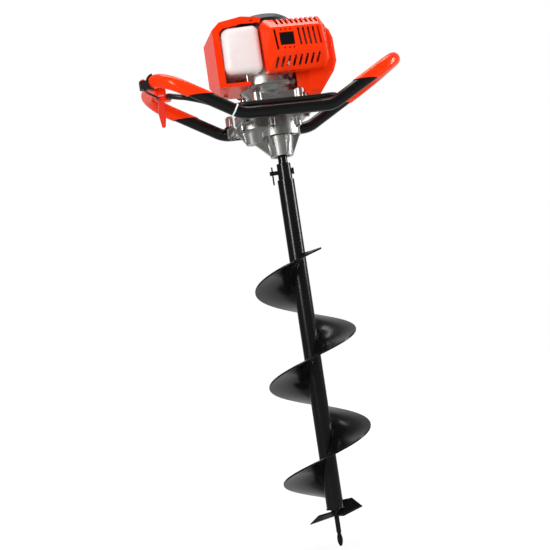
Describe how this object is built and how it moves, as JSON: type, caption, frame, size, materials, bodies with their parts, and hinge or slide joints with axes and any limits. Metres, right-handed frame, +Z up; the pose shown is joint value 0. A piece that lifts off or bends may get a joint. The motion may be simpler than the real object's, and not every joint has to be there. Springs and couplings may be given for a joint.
{
  "type": "earth auger",
  "caption": "Petrol earth auger: engine head with ring handle, throttle lever and reduction gearbox, driving a long drill bit with a steel flight, cutting blades and a pilot point.",
  "frame": {"origin": "tip of the pilot point, on the drill axis", "axes": "+Z up the drill axis, +X to the cylinder side, -Y to the exhaust side, -X to the tank and throttle side"},
  "size_m": [0.5656, 0.2476, 1.1385],
  "materials": {
    "black_paint": "black powder coat on steel",
    "orange_dip": "orange soft PVC dip, satin",
    "orange_plastic": "glossy injection moulded plastic",
    "black_plastic": "matt black moulded plastic",
    "black_rubber": "black rubber",
    "red_plastic": "red moulded plastic",
    "white_nylon": "natural nylon",
    "tank_plastic": "translucent white polyethylene",
    "cast_aluminium": "die cast, tumbled",
    "steel": "zinc plated and machined steel",
    "porcelain": "glazed ceramic",
    "bulb_rubber": "clear amber silicone",
    "filter_foam": "open cell foam"
  },
  "bodies": {
    "head": {"handle_frame": "black_paint", "left_grip": "orange_dip", "right_grip": "orange_dip", "throttle_bracket": "orange_plastic", "lever_pivot": "steel", "switch_housing": "black_plastic", "switch_wire": "black_rubber", "throttle_conduit": "black_rubber", "cable_tie": "white_nylon", "gearbox_case": "cast_aluminium", "gearbox_cover": "cast_aluminium", "gearbox_bolts": "steel", "frame_bolts": "steel", "output_bearings": "steel", "output_seal": "black_rubber", "idler_bearings": "steel", "pinion_bearings": "steel", "clutch_housing": "cast_aluminium", "housing_bolts": "steel", "crankcase": "cast_aluminium", "crank_bearings": "steel", "engine_cylinder": "cast_aluminium", "spark_plug": "porcelain", "plug_cap": "black_rubber", "muffler": "steel", "muffler_guard": "orange_plastic", "outlet_screen": "black_paint", "cylinder_shroud": "orange_plastic", "tank_guard": "orange_plastic", "tank_posts": "steel", "fuel_tank": "tank_plastic", "starter_housing": "black_plastic", "carburettor": "cast_aluminium", "filter_cover": "black_plastic", "filter_element": "filter_foam"},
    "drill": {"output_shaft": "steel", "output_gear": "steel", "auger_tube": "black_paint", "auger_flight": "black_paint", "cutting_blades": "black_paint", "pilot_point": "black_paint", "coupling_pin": "black_paint", "pin_clip": "black_paint"},
    "idler": {"idler_shaft": "steel", "idler_gear": "steel"},
    "pinion": {"drive_pinion": "steel", "clutch_drum": "steel"},
    "crank": {"crankshaft": "steel", "flywheel": "cast_aluminium", "clutch_hub": "steel", "clutch_shoes": "steel", "starter_cup": "steel"},
    "throttle_lever": {"throttle_lever": "red_plastic"},
    "throttle_arm": {"throttle_arm": "steel"},
    "kill_button": {"kill_button": "red_plastic"},
    "choke": {"choke_lever": "black_plastic"},
    "primer": {"primer_bulb": "bulb_rubber"},
    "fuel_cap": {"fuel_cap": "black_plastic"},
    "pull_grip": {"starter_handle": "black_plastic"},
    "rope_reel": {"starter_reel": "white_nylon"}
  },
  "joints": [
    {"name": "output_spin", "type": "hinge", "parent": "head", "child": "drill", "pos_m": [0, 0, 0.85], "axis": [0, 0, 1], "continuous": true},
    {"name": "idler_spin", "type": "hinge", "parent": "head", "child": "idler", "pos_m": [-0.045, 0, 0.9], "axis": [0, 0, 1], "continuous": true},
    {"name": "pinion_spin", "type": "hinge", "parent": "head", "child": "pinion", "pos_m": [0, 0, 0.92], "axis": [0, 0, 1], "continuous": true},
    {"name": "crank_spin", "type": "hinge", "parent": "head", "child": "crank", "pos_m": [0, 0, 1.03], "axis": [0, 0, 1], "continuous": true},
    {"name": "throttle_squeeze", "type": "hinge", "parent": "head", "child": "throttle_lever", "pos_m": [-0.248, -0.045, 0.9696], "axis": [1, 0, 0], "range_deg": [0, 20], "stiffness_Nm_per_rad": 1},
    {"name": "throttle_arm_turn", "type": "hinge", "parent": "head", "child": "throttle_arm", "pos_m": [0.036, 0.066, 1.079], "axis": [0, 0, 1], "range_deg": [0, 60]},
    {"name": "kill_press", "type": "slide", "parent": "head", "child": "kill_button", "axis": [0, 0, -1], "range_m": [0, 0.002], "stiffness_N_per_m": 300},
    {"name": "choke_turn", "type": "hinge", "parent": "head", "child": "choke", "pos_m": [0.06, 0.068, 1.083], "axis": [0, 0, 1], "range_deg": [0, 60]},
    {"name": "primer_press", "type": "slide", "parent": "head", "child": "primer", "axis": [-1, 0, 0], "range_m": [0, 0.004], "stiffness_N_per_m": 400},
    {"name": "fuel_cap_turn", "type": "hinge", "parent": "head", "child": "fuel_cap", "pos_m": [-0.092, 0.036, 1.0595], "axis": [0, 1, 0], "range_deg": [0, 540]},
    {"name": "starter_pull", "type": "slide", "parent": "head", "child": "pull_grip", "axis": [0, 1, 0], "range_m": [0, 0.6], "stiffness_N_per_m": 20},
    {"name": "reel_spin", "type": "hinge", "parent": "head", "child": "rope_reel", "pos_m": [0, 0, 1.117], "axis": [0, 0, 1], "range_deg": [0, 1146]}
  ],
  "couplings": [
    {"joint": "idler_spin", "follows": "output_spin", "ratio": -5},
    {"joint": "pinion_spin", "follows": "output_spin", "ratio": 27.727},
    {"joint": "throttle_arm_turn", "follows": "throttle_squeeze", "ratio": 3},
    {"joint": "reel_spin", "follows": "starter_pull", "rad_per_m": 33.333}
  ]
}
